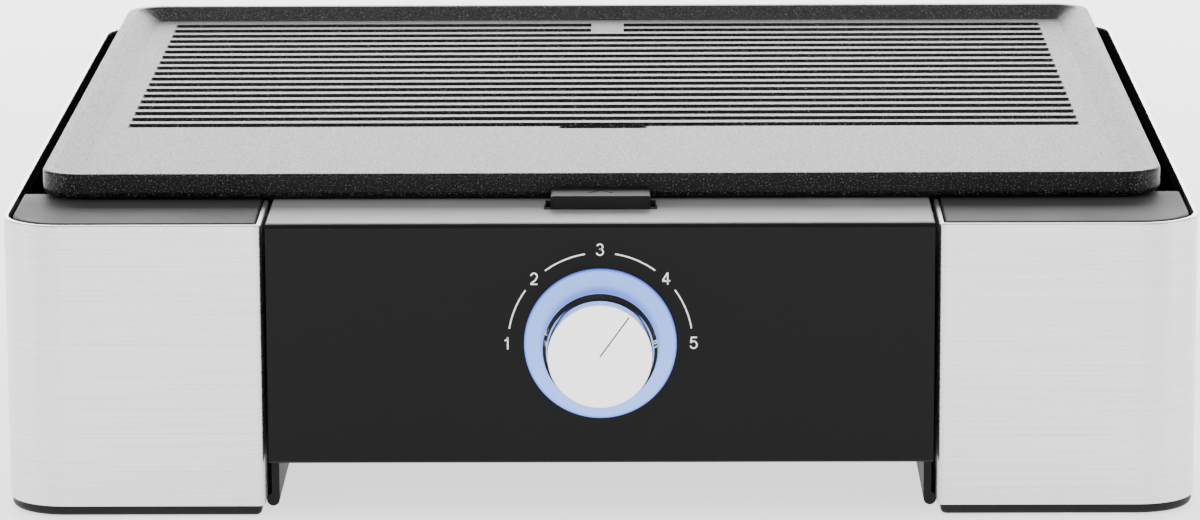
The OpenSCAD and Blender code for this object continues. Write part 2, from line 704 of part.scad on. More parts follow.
module front_panel() {
    color("#141416") difference() {
        union() {
            panel_plate(panel_y0, deck_z);
            // side returns
            for (s = [-1, 1]) translate([s * (panel_x - 1.6) - 1, panel_y1 - EPS, belly_z + 6])
                cube([2, leg_y0 - fit_gap - panel_y1, deck_z - deck_t - belly_z - 9]);
            lug_places() translate([0, leg_y0, 0]) rotate([90, 0, 0]) cylinder(r = 4, h = leg_y0 - panel_y1 + EPS);
            // stiffening ribs
            for (z = [34, 97]) translate([22 - panel_x, panel_y1 - EPS, z])
                cube([2 * (panel_x - 22), 3, 1.6]);
            on_control() {
                for (x = [-post_z, post_z]) translate([x, 0, -bracket_back + 1.2])
                    cylinder(r = 4, h = bracket_back - 1.2 - panel_recess - panel_t + EPS);
                board_posts() {
                    translate([0, 0, -7]) cylinder(r = 1.8, h = 7 - panel_recess - panel_t + EPS);
                    translate([0, 0, -9.4]) cylinder(r = 0.9, h = 3);
                }
            }
        }
        lug_places() translate([0, leg_y0 + 1, 0]) rotate([90, 0, 0]) pilot_hole(leg_y0 - panel_y1);
        on_control() {
            translate([0, 0, -20]) cylinder(r = sleeve_r + fit_gap, h = 40);
            for (x = [-post_z, post_z]) translate([x, 0, -20]) pilot_hole(20 - panel_recess - panel_t - 0.5);
        }
    }
}

grip_x = rail_x;
grip_top = belly_top + fit_gap + tray_h + 0.8;
inlet_places = [-18.5, 18.5];
inlet_seat = 1;
louvre_l = 40;
louvre_side = 36;
louvre_z = 54;
module back_panel() {
    plug_x = socket_w / 2 + wall_t;
    plug_z = socket_h / 2 + wall_t;
    color("#1b1b1d") difference() {
        union() {
            mirror([0, 1, 0]) panel_plate(-back_in - panel_t, deck_z - 0.5);
            lug_places() translate([0, leg_y1, 0]) rotate([-90, 0, 0]) cylinder(r = 4, h = back_in - leg_y1 + EPS);
            // ledge under the pan's flange
            translate([-leg_x0 + fit_gap, pan_y1 + fit_gap, ledge_z - wall_t])
                cube([2 * (leg_x0 - fit_gap), back_in - pan_y1 - fit_gap + EPS, wall_t]);
            for (k = [-0.75, -0.375, 0, 0.375, 0.75]) translate([k * leg_x0 - 1, back_in + EPS, ledge_z - wall_t + EPS])
                rotate([0, 90, 0]) linear_extrude(2) polygon([[0, 0], [10, 0], [0, -10]]);
            for (x = inlet_places) translate([x - inlet_x, back_in + EPS, inlet_z]) rotate([90, 0, 0])
                cylinder(r = 4, h = 8);
            // frame around the tray's opening
            for (s = [-1, 1]) translate([s * (grip_x + 1) - 1, back_in - 4, belly_z + wall_t + fit_gap])
                cube([2, 4 + EPS, grip_top - belly_z - wall_t - fit_gap + 2]);
            translate([-grip_x - 1, back_in - 4, grip_top]) cube([2 * grip_x + 2, 4 + EPS, 2]);
        }
        lug_places() translate([0, leg_y1 - 1, 0]) rotate([-90, 0, 0]) pilot_hole(back_in - leg_y1);
        for (x = inlet_places) translate([x - inlet_x, back_in + panel_t + 1, inlet_z]) rotate([90, 0, 0])
            pilot_hole(panel_t + 8);
        translate([-grip_x, back_in - 5, belly_z - 1]) cube([2 * grip_x, 10, grip_top - belly_z + 1]);
        translate([-inlet_x - plug_x - fit_gap, back_in - 1, inlet_z - plug_z - fit_gap])
            cube([2 * (plug_x + fit_gap), panel_t + 2, 2 * (plug_z + fit_gap)]);
        for (k = [0, 1]) for (i = [0 : louvre_n - 1])
            translate([leg_x0 - louvre_side - k * (louvre_l + 10), back_in - 1, louvre_z + i * louvre_pitch])
                rotate([-90, 0, 0]) slot(louvre_l, 3, 0, panel_t + 2);
    }
}

// ---- Heater pan and its parts ----
peg_r = 6;
peg_base_r = 9;
peg_in = peg_base_r + pan_t + 2.2;
module peg_places() {
    for (s = [-1, 1]) for (y = [pan_y0 + peg_in, pan_y1 - peg_in])
        translate([s * (pan_x - peg_in), y, 0]) children();
}
elbow_r = 10;
tube_down_x = heater_x + 15;
tube_end_z = pan_z0 - 7;
sleeve_l = drain_l + 11;
sleeve_w = drain_w + 9.5;

module heater_pan() {
    fx = pan_x + pan_flange_w;
    color("#b9bcc0") difference() {
        union() {
            difference() {
                union() {
                    block(-pan_x, pan_x, pan_y0, pan_y1, pan_z0, ledge_z + EPS, pan_corner_r, pan_corner_r);
                    block(-fx, fx, pan_y0 - pan_flange_w, pan_y1 + pan_flange_w, ledge_z, ledge_z + pan_t,
                          pan_corner_r + pan_flange_w, pan_corner_r + pan_flange_w);
                }
                block(-pan_x + pan_t, pan_x - pan_t, pan_y0 + pan_t, pan_y1 - pan_t, pan_z0 + pan_t,
                      ledge_z + pan_t + 1, pan_corner_r - pan_t, pan_corner_r - pan_t);
            }
            // pressed beads and the drain's sleeve
            bead_places() slot(bead_l, 9, pan_z0 + EPS, pan_z0 + 2 * pan_t);
            translate([0, drain_y, 0]) slot(sleeve_l, sleeve_w, pan_z0 - 5, pan_z0 + 3);
        }
        bead_places() slot(bead_l - 2 * pan_t, 9 - 2 * pan_t, pan_z0 - 1, pan_z0 + pan_t);
        translate([0, drain_y, 0])
            slot(sleeve_l - 2 * pan_t, sleeve_w - 2 * pan_t, pan_z0 - 6, pan_z0 + 4);
        tube_ends() translate([0, 0, pan_z0 - 1]) cylinder(r = heater_r + fit_gap, h = 4);
    }
}
bracket_in = 45;
bead_l = 2 * (heater_x - bracket_in - 10);
module bead_places() {
    for (i = [0, 2, 3, 4]) translate([0, run_y(i) + heater_pitch / 2, 0]) children();
}
module tube_ends() { for (i = [0, heater_runs - 1]) translate([-tube_down_x, run_y(i), 0]) children(); }

module heater_tube() {
    color("#55504c") {
        for (i = [0 : heater_runs - 1]) translate([-heater_x, run_y(i), heater_z])
            rotate([0, 90, 0]) cylinder(r = heater_r, h = 2 * heater_x);
        for (i = [0 : heater_runs - 2]) {
            s = i % 2 == 0 ? 1 : -1;
            translate([s * (heater_x - 0.1), run_y(i) + heater_pitch / 2, heater_z]) rotate(s > 0 ? -90 : 90)
                rotate_extrude(angle = 180) translate([heater_pitch / 2, 0]) circle(r = heater_r + bend_swell);
        }
        tube_ends() {
            translate([elbow_r - 0.1, 0, heater_z]) rotate([0, 90, 0])
                cylinder(r = heater_r, h = tube_down_x - heater_x - elbow_r + 0.2);
            translate([elbow_r, 0, heater_z - elbow_r]) rotate([90, 0, 0]) rotate(90)
                rotate_extrude(angle = 90) translate([elbow_r, 0]) circle(r = heater_r + bend_swell);
            translate([0, 0, tube_end_z]) cylinder(r = heater_r, h = heater_z - elbow_r - tube_end_z + 0.1);
        }
    }
}

module heater_brackets() {
    top_z = heater_z - 0.6;
    y0 = run_y(0) - 10;
    color("#a8abaf") for (x = [bracket_in - heater_x, heater_x - bracket_in]) difference() {
        union() {
            translate([x - 0.6, y0, pan_z0 + pan_t]) cube([1.2, run_y(heater_runs - 1) + 10 - y0, top_z - pan_z0 - pan_t]);
            // feet folded over on the pan's floor
            for (i = [0 : heater_runs - 1]) translate([x - 0.6, run_y(i) - 8, pan_z0 + pan_t]) cube([9, 16, 1.2]);
        }
        for (i = [0 : heater_runs - 1]) {
            translate([x - 2, run_y(i), heater_z]) rotate([0, 90, 0]) cylinder(r = heater_r + run_gap, h = 4);
            translate([x + 5, run_y(i), pan_z0]) cylinder(r = 1.5, h = 4);
        }
        // windows between the saddles
        for (i = [0 : heater_runs - 2]) translate([x - 2, run_y(i) + 12, pan_z0 + pan_t + 3.5])
            cube([4, heater_pitch - 24, top_z - pan_z0 - pan_t - 7]);
    }
}

module heater_terminals() {
    color("#d8d4c8") tube_ends() {
        ring(heater_r + 3, heater_r + run_gap, tube_end_z, pan_z0);
        translate([0, 0, tube_end_z - 3]) cylinder(r = 2.2, h = 3);
        translate([-0.4, -3.15, tube_end_z - 11]) cube([0.8, 6.3, 8 + EPS]);
    }
}

module plate_rests() {
    color("#e6e1d6") peg_places() rotate_extrude() polygon([
        [0, pan_z0 + pan_t], [peg_base_r, pan_z0 + pan_t], [peg_base_r, pan_z0 + pan_t + 3],
        [peg_r, pan_z0 + pan_t + 6], [peg_r, plate_z0 - 1], [peg_r - 1, plate_z0], [0, plate_z0]]);
}

// ---- Griddle plate ----
channel_x = heater_x - 5;
spout_z = plate_z0 - 12;
module tray_hollow() {
    // sloping sides: straight runs between four cones
    x = plate_w / 2;
    r = plate_corner_r;
    foot = rim_w + rim_slope_w;
    slope = rim_slope_w / tray_depth;
    for (sx = [-1, 1]) for (y = [plate_y0 + r, plate_y1 - r]) translate([sx * (x - r), y, cook_z])
        cylinder(r1 = r - foot, r2 = r - foot + slope * (tray_depth + 1), h = tray_depth + 1);
    translate([-x + r, 0, 0]) rotate([90, 0, 90]) linear_extrude(2 * (x - r))
        tray_section(plate_y0, plate_y1, foot, slope);
    translate([0, plate_y1 - r, 0]) rotate([90, 0, 0]) linear_extrude(plate_y1 - plate_y0 - 2 * r)
        tray_section(-x, x, foot, slope);
}
module tray_section(a, b, foot, slope) {
    top = foot - slope * (tray_depth + 1);
    polygon([[a + foot, cook_z], [b - foot, cook_z],
             [b - top, rim_z + 1], [a + top, rim_z + 1]]);
}

// One half of a groove: drafted walls, floor falling towards the middle
groove_draft = 0.4;
module groove_half(x0) {
    l = groove_l / 2;
    fall = atan((groove_mid_depth - groove_end_depth) / l);
    w = groove_w / 2;
    difference() {
        translate([0, 0, cook_z - groove_mid_depth + groove_end_depth]) rotate([0, -fall, 0])
            translate([-2, 0, 0]) rotate([90, 0, 90]) linear_extrude(l + 3)
            polygon([[-w, groove_mid_depth + 1], [-w, 0], [-w + groove_draft, -groove_end_depth],
                     [w - groove_draft, -groove_end_depth], [w, 0], [w, groove_mid_depth + 1]]);
        translate([x0 - 10, -w - 1, cook_z - 10]) cube([10, 2 * w + 2, 20]);
        // run-out ramp
        translate([0, w + 1, 0]) rotate([90, 0, 0]) linear_extrude(2 * w + 2)
            polygon([[l, cook_z], [l, cook_z + 4], [l + 20, cook_z + 4], [l + 20, cook_z - 5],
                     [l - groove_runout, cook_z - groove_end_depth - 0.5]]);
    }
}

module channel_ribs() {
    for (i = [0 : heater_runs - 1]) translate([-channel_x, run_y(i) - channel_w / 2, heater_z])
        cube([2 * channel_x, channel_w, plate_z0 - heater_z + 1]);
}

module grill_plate() {
    color("#3d3e41") difference() {
        union() {
            difference() {
                soft_block(-plate_w / 2, plate_w / 2, plate_y0, plate_y1, plate_z0, rim_z,
                           plate_corner_r, plate_corner_r, rim_edge_r, plate_foot_r);
                tray_hollow();
                // hollow under the rim
                difference() {
                    under_rim(4.5, plate_z0 - 1, plate_z0 + 4);
                    under_rim(9, plate_z0 - 2, plate_z0 + 5);
                }
            }
            channel_ribs();
            translate([0, drain_y, 0]) slot(drain_l + 5, drain_w + 4.5, spout_z, plate_z0 + 1);
        }
        for (i = [0 : groove_n - 1]) translate([0, groove_y1 - groove_w / 2 - i * groove_pitch, 0]) {
            groove_half(i < 2 ? pad_w / 2 : -EPS);
            mirror([1, 0, 0]) groove_half(i < 2 ? pad_w / 2 : -EPS);
        }
        for (i = [0 : heater_runs - 1]) translate([-channel_x - 1, run_y(i), heater_z])
            rotate([0, 90, 0]) cylinder(r = heater_r + heater_play, h = 2 * channel_x + 2);
        translate([0, drain_y, 0]) slot(drain_l, drain_w, spout_z - 1, rim_z);
    }
}
module under_rim(d, z0, z1) {
    block(-plate_w / 2 + d, plate_w / 2 - d, plate_y0 + d, plate_y1 - d, z0, z1,
          plate_corner_r - d, plate_corner_r - d);
}

// ---- Release lever ----
lever_wall = 1;
lever_skin = 1.3;
module release_lever() {
    z0 = deck_z + lever_lift;
    color("#77797c") difference() {
        rotate(90) soft_block(lever_y0, lever_y0 + lever_l, -lever_w / 2, lever_w / 2,
                              z0, lever_top, 1, 4, 0.8, 0);
        rotate(90) block(lever_y0 + lever_wall, lever_y0 + lever_l - lever_wall,
                         -lever_w / 2 + lever_wall + 0.5, lever_w / 2 - lever_wall - 0.5,
                         z0 - 1, lever_top - lever_skin, 0.5, 3);
        translate([-half_w, pin_y, pin_z]) rotate([0, 90, 0]) cylinder(r = pin_r + 0.4 * run_gap, h = body_w);
        // arrow sunk into the top
        translate([0, lever_y0 + 6.4, lever_top - 0.5]) linear_extrude(1)
            polygon([[-5, 0], [0, 5], [5, 0], [4, 0], [0, 4], [-4, 0]]);
    }
}

module lever_pin() {
    color("#c9cbce") translate([-lever_w / 2 - pin_show, pin_y, pin_z]) rotate([0, 90, 0]) difference() {
        cylinder(r = pin_r, h = lever_w + 2 * pin_show);
        for (z = [-0.4, lever_w + 2 * pin_show - 0.4]) translate([0, 0, z]) cylinder(r = 0.5, h = 0.8);
    }
}

spring_wire = 0.35;
module lever_spring() {
    r = pin_r + 0.2 + spring_wire;
    color("#9a9da0") {
        for (x = [-3.3 : 0.66 : 3.3]) translate([x, pin_y, pin_z]) rotate([0, 90, 0])
            rotate_extrude($fn = 32) translate([r, 0]) circle(r = spring_wire, $fn = 16);
        // legs to the lever's front wall and to the pocket's floor
        translate([-3.3, pin_y, pin_z + r]) rotate([90, 0, 0])
            cylinder(r = spring_wire - 0.05, h = pin_back - lever_wall - 0.05, $fn = 16);
        translate([3.3, pin_y + r, pin_z]) mirror([0, 0, 1])
            cylinder(r = spring_wire - 0.05, h = pin_z - deck_z + pocket_deep - 0.1, $fn = 16);
    }
}

// ---- Control ----
body_z = 38;
bush_r = 4.9;
knob_z0 = knob_proud - knob_l;
module thermostat() {
    color("#c8b48a") on_control() difference() {
        union() {
            block(-17, 17, -15, 15, -body_z, -bracket_back, 3, 3);
            translate([0, 0, -bracket_back - EPS]) cylinder(r = bush_r, h = bracket_back - 8 + EPS);
        }
        translate([0, 0, -20.3]) cylinder(r = shaft_r + run_gap, h = 30);
        for (x = [-9, 9]) translate([x - 0.5, -10, -body_z - 1]) cube([1, 20, 5]);
    }
}

module thermostat_bracket() {
    color("#b9bcc0") on_control() difference() {
        union() {
            block(-44, 44, -18, 18, -bracket_back, -bracket_back + 1.2, 5, 5);
            for (s = [-1, 1]) translate([-30, s * 17.2 - 0.8, -bracket_back - 4]) cube([60, 1.6, 4 + EPS]);
        }
        translate([0, 0, -20]) cylinder(r = bush_r + 0.2, h = 20);
        for (x = [-post_z, post_z]) translate([x, 0, -20]) screw_hole(20);
    }
}

shaft_end = knob_z0 + 6;
module thermostat_shaft() {
    color("#b9bcc0") on_control() difference() {
        translate([0, 0, -20]) cylinder(r = shaft_r, h = 20 + shaft_end);
        translate([-5, shaft_r - 0.8, neck_z - fit_gap]) cube([10, 5, shaft_end - neck_z + 1]);
    }
}

module thermostat_nut() {
    color("#d4b45a") on_control() difference() {
        translate([0, 0, -bracket_back + 1.2]) cylinder(r = 7.5, h = 2.9, $fn = 6);
        translate([0, 0, -20]) cylinder(r = bush_r + run_gap, h = 20);
    }
}

// Light ring: outer band, crease and conical inner band, drawn as one section
ring_proud = 0.8;
ring_in_r = 14.6;
board_front = 7;
module light_ring() {
    color("#bcd0ff") on_control() rotate_extrude($fn = 96) difference() {
        polygon([[ring_r, -panel_recess], [ring_r, ring_proud - 0.6], [ring_r - 0.2, ring_proud - 0.2],
            [ring_r - 0.7, ring_proud], [ring_crease_r, ring_proud - 0.3], [ring_in_r + 0.3, -3.1],
            [ring_in_r, -3.4], [ring_in_r, -4.5], [19.6, -2.4], [19.6, -board_front],
            [sleeve_r, -board_front], [sleeve_r, -panel_recess]]);
        translate([sleeve_r + 1.2, -panel_recess - 0.5]) square([0.8, 0.9]);
    }
}

module light_board() {
    color("#1f6b3a") on_control() difference() {
        translate([0, 0, -board_front - 1.6]) cylinder(r = 33, h = 1.6);
        translate([0, 0, -20]) cylinder(r = 8, h = 40);
        board_posts() translate([0, 0, -20]) cylinder(r = 1, h = 40);
    }
}

module light_chips() {
    color("#f2f4ff") on_control() for (a = [22.5 : 45 : 360]) rotate(a)
        translate([15.8, -1.5, -board_front]) cube([2, 3, 0.8]);
}

// Knob: tapered chromed cup with a neck, a hub and a sunk face
knob_wall = 1.8;
face_t = 0.75;
neck_z = -1.2;
module control_knob() {
    web_z = knob_proud - face_t - knob_wall;
    rim = knob_face_r - 0.5;
    color("#dfe2e6") on_control() {
        // rear lip, flare and slim front part, then the face's seat, web and neck
        rotate_extrude($fn = 128) polygon([
            [knob_r - knob_wall, knob_z0], [knob_r - 0.3, knob_z0], [knob_r, knob_z0 + 0.3],
            [knob_r, knob_z0 + 1], [knob_r - 0.5, knob_z0 + 2.2], [knob_face_r + 0.5, knob_z0 + 4.2],
            [knob_face_r + 0.15, knob_z0 + 6], [knob_face_r, knob_proud - 0.35],
            [knob_face_r - 0.2, knob_proud], [rim, knob_proud], [rim, knob_proud - face_t],
            [0, knob_proud - face_t], [0, web_z], [10.5, web_z], [10.5, neck_z], [12, neck_z],
            [12, web_z], [knob_face_r - knob_wall, web_z], [knob_face_r - knob_wall, knob_z0 + 4]]);
        difference() {
            translate([0, 0, neck_z]) cylinder(r = 6, h = web_z - neck_z + EPS);
            difference() {
                translate([0, 0, neck_z - 1]) cylinder(r = shaft_r + run_gap, h = shaft_end + fit_gap - neck_z + 1);
                translate([-5, shaft_r - 0.8 + run_gap, neck_z - 2]) cube([10, 5, shaft_end + 5]);
            }
        }
    }
}

pointer_w = 0.45;
module pointer_bar(play) {
    rotate(-pointer_angle) translate([-pointer_w / 2 - play, 0, knob_proud - 0.4 - play])
        cube([pointer_w + 2 * play, knob_face_r - 1.1 + play, 0.38 + 2 * play]);
}
module knob_face() {
    color("#f1f1ef") on_control() difference() {
        translate([0, 0, knob_proud - face_t + 0.01]) cylinder(r = knob_face_r - 0.5 - run_gap, h = face_t - 0.05, $fn = 128);
        pointer_bar(0.02);
    }
}
module knob_pointer() { color("#3a3c40") on_control() pointer_bar(0); }

// ---- Inlet and wiring ----
block_x = -(leg_x0 + rail_x + rail_t) / 2;
block_y = back_y - 40;
block_w = 28;
block_d = 16;
lead_gap = 0.1;
module inlet_place() { translate([-inlet_x, back_y - back_recess, inlet_z]) rotate([-90, 0, 0]) children(); }
module power_inlet() {
    w = socket_w / 2;
    h = socket_h / 2;
    color("#151515") inlet_place() difference() {
        union() {
            block(-23, 23, -h - 5, h + 5, 0, 1.8, 4, 4);
            block(-w - wall_t, w + wall_t, -h - wall_t, h + wall_t, -socket_d - wall_t, 1, 1.5, 1.5);
        }
        block(-w, w, -h, h, -socket_d, 3, 1, 1);
        for (x = inlet_places) translate([x, 0, -1]) {
            screw_hole(4);
            translate([0, 0, 1 + inlet_seat]) cylinder(r = head_r + screw_gap, h = 4);
        }
        inlet_blades(-socket_d - wall_t - 1, 0);
    }
}
module inlet_blades(z0, z1) {
    for (p = [[-7, 0], [0, -3], [7, 0]]) translate([p[0] - 1, p[1] - 2, z0]) cube([2, 4, z1 - z0]);
}
module inlet_pins() {
    color("#d9c06a") inlet_place() inlet_blades(-socket_d - wall_t - 6, -4);
}
module terminal_block() {
    color("#e9e6dc") difference() {
        block(block_x - block_w / 2, block_x + block_w / 2, block_y - block_d / 2, block_y + block_d / 2,
              belly_top, belly_top + 14, 1.5, 1.5);
        for (x = [-1.5, -0.5, 0.5, 1.5]) for (y = [-4, 4])
            translate([block_x + x * block_w / 4, block_y + y, belly_top + 9]) cylinder(r = 2.2, h = 6);
    }
}
module thermal_cutout() {
    color("#c9cbce") translate([-0.4 * heater_x, run_y(2) + heater_pitch / 2 + 14, pan_z0]) {
        translate([0, 0, -6]) cylinder(r = 8, h = 6);
        translate([0, 0, -0.8]) slot(30, 8, 0, 0.8);
        for (x = [-4, 4]) translate([x - 0.4, -3, -13]) cube([0.8, 6, 7 + EPS]);
    }
}

// Each lead starts and ends square to the face that it is fixed to
lead_z = belly_top + 6;
module supply_leads() {
    y0 = back_y - back_recess - socket_d - wall_t - 6 - lead_gap;
    y1 = block_y + block_d / 2;
    color("#2b2b2e") for (x = [-7, 7]) lead([[x - inlet_x, y0, inlet_z],
        [x - inlet_x, y0 - 3.5, inlet_z], [x - inlet_x, y0 - 3.5, inlet_z - 10],
        [x + block_x, y1 + 5, lead_z + 12],
        [x + block_x, y1 + 5, lead_z], [x + block_x, y1 + lead_gap, lead_z]]);
}
module heater_leads() {
    y0 = block_y - block_d / 2 - lead_gap;
    body_y = front_y + body_z + lead_gap;
    end_z = tube_end_z - 11 - lead_gap;
    behind_y = body_y + 4;
    low_z = pass_z - 3;
    high_z = pass_z + 2.5;
    side_x = tube_down_x + 16;
    last_y = run_y(heater_runs - 1);
    color("#c23b2e") {
        // from the thermostat to the front end of the tube
        lead([[-10, body_y, knob_z - 4], [-10, behind_y, knob_z - 4], [-33, behind_y, knob_z],
              [-33, cross_y + 6, knob_z], [20 - leg_x0, pass_y - 3, high_z],
              [-leg_x0 - 12, pass_y - 3, high_z], [-tube_down_x, run_y(0), end_z - 8],
              [-tube_down_x, run_y(0), end_z]]);
        // from the terminal block to the rear end of the tube
        lead([[block_x - 7, y0, lead_z], [block_x - 7, y0 - 8, lead_z], [block_x - 7, y0 - 20, low_z],
              [block_x - 7, pass_y + 20, low_z], [-leg_x0 + 5, pass_y + 3, low_z],
              [-leg_x0 - 14, pass_y + 3, low_z], [-side_x, pass_y + 24, low_z],
              [-side_x, last_y - 16, low_z], [-tube_down_x, last_y, end_z - 8],
              [-tube_down_x, last_y, end_z]]);
        // from the terminal block to the thermostat
        lead([[block_x + 7, y0, lead_z], [block_x + 7, y0 - 10, lead_z], [block_x + 7, y0 - 22, lead_z + 24],
              [block_x + 7, cross_y + 16, lead_z + 24], [-35, cross_y + 4, knob_z - 5],
              [-35, behind_y, knob_z - 5], [-8, behind_y, knob_z - 9], [-8, body_y, knob_z - 9]]);
    }
}
module light_leads() {
    y = front_y + board_front + 1.6 + lead_gap;
    side = 17 + lead_gap;
    color("#3c5fb0") for (s = [-1, 1]) lead([[s * 22, y, knob_z - 21], [s * 22, y + 8, knob_z - 21],
        [s * 22, y + 18, knob_z - 12], [s * side, y + 18, knob_z - 12]], 0.8);
}

// ---- Drip tray ----
tray_y0 = drain_y - tray_ahead;
tray_y1 = back_y - 14;
tray_z0 = belly_top + fit_gap;
module drip_tray() {
    x = tray_w / 2;
    z1 = tray_z0 + tray_h;
    color("#a9acb0") difference() {
        union() {
            block(-x, x, tray_y0, tray_y1, tray_z0, z1, tray_corner_r, tray_corner_r);
            block(-x - 2, x + 2, tray_y0 - 2, tray_y1, z1 - tray_t, z1, tray_corner_r, tray_corner_r);
        }
        block(-x + tray_t, x - tray_t, tray_y0 + tray_t, tray_y1 - tray_t, tray_z0 + tray_t, z1 + 1,
              tray_corner_r - tray_t, tray_corner_r - tray_t);
    }
}
module tray_handle() {
    x = tray_w / 2 + 2;
    y1 = back_y - back_recess;
    color("#1b1b1d") difference() {
        soft_block(-x, x, tray_y1, y1, tray_z0, tray_z0 + tray_h, 2, 2, 1.2, 1.2);
        translate([-30, y1 - 8, tray_z0 + 3]) cube([60, 9, tray_h - 8]);
        translate([-30, y1 - 8, tray_z0 + 3]) cube([60, 5.5, tray_h - 5]);
    }
}

// ---- Screws ----
module foot_screws() {
    color("#9a9da0") for (s = [0, 1]) mirror([s, 0, 0]) foot_screw_places()
        translate([0, 0, screw_seat_z]) screw(14);
}
module chassis_screws() {
    color("#9a9da0") for (s = [0, 1]) mirror([s, 0, 0]) pad_places()
        translate([leg_x0, 0, 0]) rotate([0, 90, 0]) screw(14);
}
module panel_screws() {
    color("#9a9da0") {
        lug_places() translate([0, leg_y0 + wall_t, 0]) rotate([90, 0, 0]) screw(10);
        lug_places() translate([0, leg_y1 - wall_t, 0]) rotate([-90, 0, 0]) screw(10);
        on_control() for (x = [-post_z, post_z]) translate([x, 0, -bracket_back]) screw(8);
    }
}
module inlet_screws() {
    color("#9a9da0") inlet_place() for (x = inlet_places) translate([x, 0, inlet_seat]) mirror([0, 0, 1]) screw(9);
}

left() steel_casing();  // steel_casing_left
steel_casing();  // steel_casing_right
left() foot_trim();  // foot_trim_left
foot_trim();  // foot_trim_right
rubber_feet();
left() side_housing();  // side_housing_left
side_housing();  // side_housing_right
centre_chassis();
left() pod_cover();  // pod_cover_left
pod_cover();  // pod_cover_right
front_panel();
centre_shelf();
back_panel();
heater_pan();
heater_tube();
heater_brackets();
heater_terminals();
plate_rests();
grill_plate();
release_lever();
lever_pin();
lever_spring();
thermostat();
thermostat_bracket();
thermostat_shaft();
thermostat_nut();
control_knob();
knob_face();
knob_pointer();
light_ring();
light_board();
light_chips();
power_inlet();
inlet_pins();
terminal_block();
thermal_cutout();
supply_leads();
heater_leads();
light_leads();
drip_tray();
tray_handle();
foot_screws();
chassis_screws();
panel_screws();
inlet_screws();
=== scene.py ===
import math
import bpy
from mathutils import Matrix, Vector


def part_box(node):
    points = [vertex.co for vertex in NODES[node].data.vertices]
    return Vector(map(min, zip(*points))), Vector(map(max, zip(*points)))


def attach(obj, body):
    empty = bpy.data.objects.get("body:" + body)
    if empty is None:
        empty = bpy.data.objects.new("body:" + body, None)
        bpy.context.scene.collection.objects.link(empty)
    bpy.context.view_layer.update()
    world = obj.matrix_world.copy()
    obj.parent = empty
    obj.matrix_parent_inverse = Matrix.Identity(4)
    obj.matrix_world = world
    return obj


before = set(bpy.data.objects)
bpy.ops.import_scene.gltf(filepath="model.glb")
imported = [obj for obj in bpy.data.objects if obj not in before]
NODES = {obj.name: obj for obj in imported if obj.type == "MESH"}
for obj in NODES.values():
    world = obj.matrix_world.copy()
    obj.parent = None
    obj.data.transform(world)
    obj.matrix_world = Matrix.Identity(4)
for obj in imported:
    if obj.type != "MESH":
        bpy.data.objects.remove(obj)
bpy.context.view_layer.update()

# Height of the control's axis, where the ring, the knob and the dial print are centred
AXIS_Z = 0.0655


